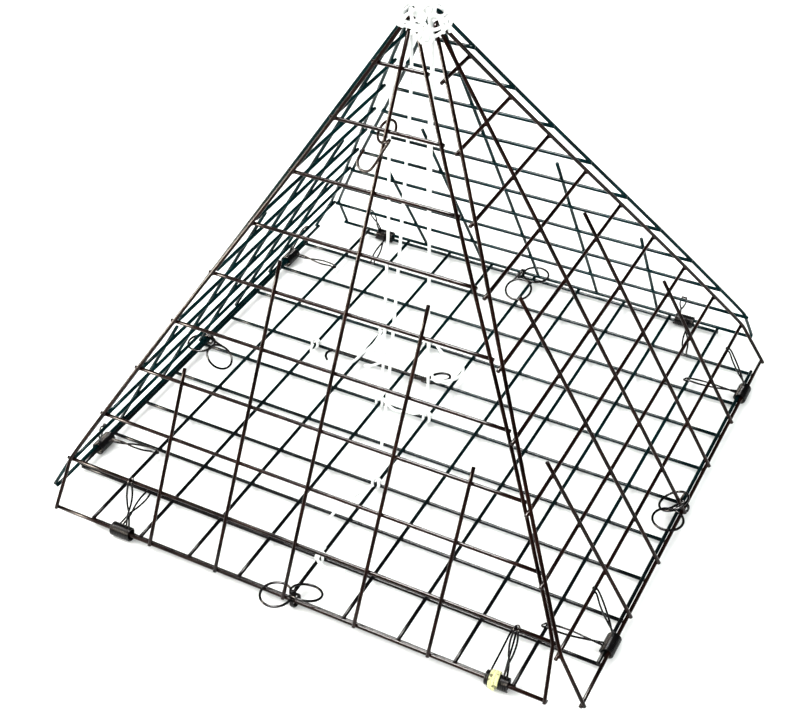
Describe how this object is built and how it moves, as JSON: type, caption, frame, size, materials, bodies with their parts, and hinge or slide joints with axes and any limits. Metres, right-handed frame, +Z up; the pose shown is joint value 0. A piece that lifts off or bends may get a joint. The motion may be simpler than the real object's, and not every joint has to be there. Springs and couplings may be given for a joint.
{
  "type": "folding crab trap",
  "caption": "Folding pyramid trap of welded wire: a square grid base with four sprung, hinged triangular sides drawn together at the top by a cord.",
  "frame": {"origin": "centre of the base grid, on the surface that the trap stands on", "axes": "+Z up to the closed tips, +X to the right along the front edge, +Y from the front edge to the back"},
  "size_m": [0.4267, 0.436, 0.3423],
  "materials": {
    "near_wire": "semi-gloss dark brown coated wire",
    "far_wire": "semi-gloss green-black coated wire",
    "spring_wire": "dark oiled spring wire",
    "white_cord": "white braided cord",
    "yellow_cord": "pale yellow braid with olive flecks"
  },
  "bodies": {
    "base": {"base_grid": "far_wire", "spring_front_left": "spring_wire", "spring_front_right": "spring_wire", "spring_right_front": "spring_wire", "spring_right_back": "spring_wire", "spring_back_right": "spring_wire", "spring_back_left": "spring_wire", "spring_left_back": "spring_wire", "spring_left_front": "spring_wire", "hinge_tie_front": "spring_wire", "hinge_tie_right": "spring_wire", "hinge_tie_back": "spring_wire", "hinge_tie_left": "spring_wire", "spring_band": "yellow_cord", "bait_clip": "spring_wire", "base_knot_back_left": "white_cord", "base_knot_back": "white_cord", "base_knot_left": "white_cord", "base_knot_centre": "white_cord", "base_knot_front": "white_cord", "base_knot_front_edge": "white_cord", "base_knot_far_left": "white_cord", "cord_leg_front": "white_cord", "cord_leg_right": "white_cord", "cord_leg_back": "white_cord", "cord_leg_left": "white_cord", "cord_tail_left": "white_cord", "cord_tail_front": "white_cord", "cord_tail_end": "white_cord", "cord_link": "white_cord", "cord_loop_right": "white_cord", "cord_loop_left": "white_cord"},
    "panel_front": {"panel_front": "near_wire", "tip_wrap_front": "white_cord", "wire_hook": "near_wire"},
    "panel_right": {"panel_right": "near_wire", "tip_wrap_right": "white_cord"},
    "panel_back": {"panel_back": "far_wire", "tip_wrap_back": "white_cord"},
    "panel_left": {"panel_left": "far_wire", "tip_wrap_left": "white_cord"}
  },
  "joints": [
    {"name": "front_hinge", "type": "hinge", "parent": "base", "child": "panel_front", "pos_m": [0, -0.206, 0.0062], "axis": [1, 0, 0], "range_deg": [0, 119], "deforming": ["spring_front_left", "spring_front_right", "hinge_tie_front", "cord_leg_front"]},
    {"name": "right_hinge", "type": "hinge", "parent": "base", "child": "panel_right", "pos_m": [0.206, 0, 0.0062], "axis": [0, 1, 0], "range_deg": [0, 119], "deforming": ["spring_right_front", "spring_right_back", "hinge_tie_right", "cord_leg_right"]},
    {"name": "back_hinge", "type": "hinge", "parent": "base", "child": "panel_back", "pos_m": [0, 0.206, 0.0062], "axis": [-1, 0, 0], "range_deg": [0, 119], "deforming": ["spring_back_right", "spring_back_left", "hinge_tie_back", "cord_leg_back"]},
    {"name": "left_hinge", "type": "hinge", "parent": "base", "child": "panel_left", "pos_m": [-0.206, 0, 0.0062], "axis": [0, -1, 0], "range_deg": [0, 119], "deforming": ["spring_left_back", "spring_left_front", "hinge_tie_left", "cord_leg_left"]}
  ],
  "couplings": [
    {"joint": "right_hinge", "follows": "front_hinge", "ratio": 1},
    {"joint": "back_hinge", "follows": "front_hinge", "ratio": 1},
    {"joint": "left_hinge", "follows": "front_hinge", "ratio": 1}
  ]
}
